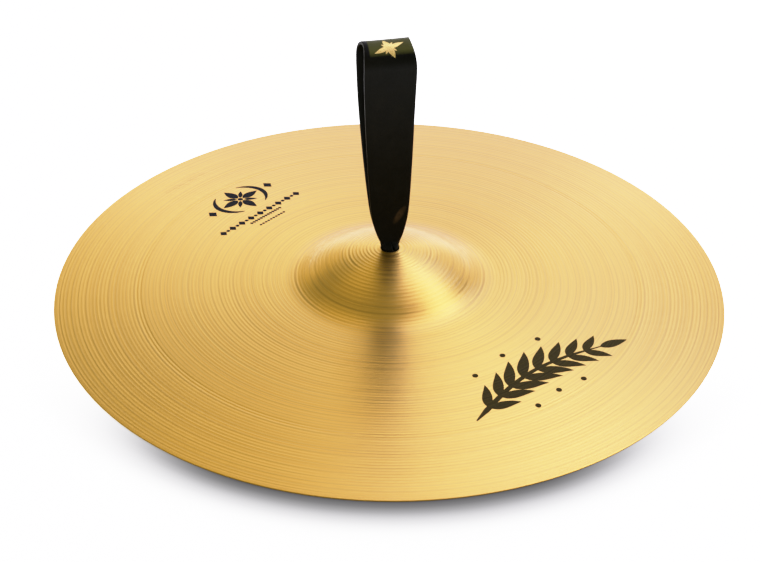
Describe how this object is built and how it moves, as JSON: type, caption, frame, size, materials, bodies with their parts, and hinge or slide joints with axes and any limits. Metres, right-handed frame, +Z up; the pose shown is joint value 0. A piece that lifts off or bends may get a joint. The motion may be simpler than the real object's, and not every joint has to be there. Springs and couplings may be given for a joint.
{
  "type": "orchestral hand cymbal with leather strap",
  "caption": "Lathed bronze cymbal lying bell up on its rim, with a black leather hand strap standing from the centre bore and tied in a sailor's knot inside the bell.",
  "frame": {"origin": "centre of the plane the rim rests on, under the bore", "axes": "+Z up through the centre bore, out of the bell; the strap's width lies along X and its two plies face -Y and +Y"},
  "size_m": [0.4572, 0.4572, 0.196],
  "materials": {
    "bronze": "lathed, fine concentric tool rings, bright, thin clear lacquer",
    "leather": "smooth black bridle leather, slightly waxed, cut edges dyed black"
  },
  "bodies": {
    "plate": {"cymbal": "bronze"},
    "knot": {"tail_back_right": "leather", "tail_back_left": "leather", "tail_front_left": "leather", "tail_front_right": "leather"},
    "neck": {"strap_neck": "leather"},
    "loop": {"hand_loop": "leather"}
  },
  "joints": [
    {"name": "strap_swivel", "type": "hinge", "parent": "plate", "child": "knot", "pos_m": [0, 0, 0.038], "axis": [0, 0, 1], "continuous": true},
    {"name": "neck_sway", "type": "hinge", "parent": "knot", "child": "neck", "pos_m": [0, 0, 0.0415], "axis": [0, 1, 0], "range_deg": [-25, 25]},
    {"name": "loop_fold", "type": "hinge", "parent": "neck", "child": "loop", "pos_m": [0, 0, 0.0465], "axis": [1, 0, 0], "range_deg": [-85, 85]}
  ]
}
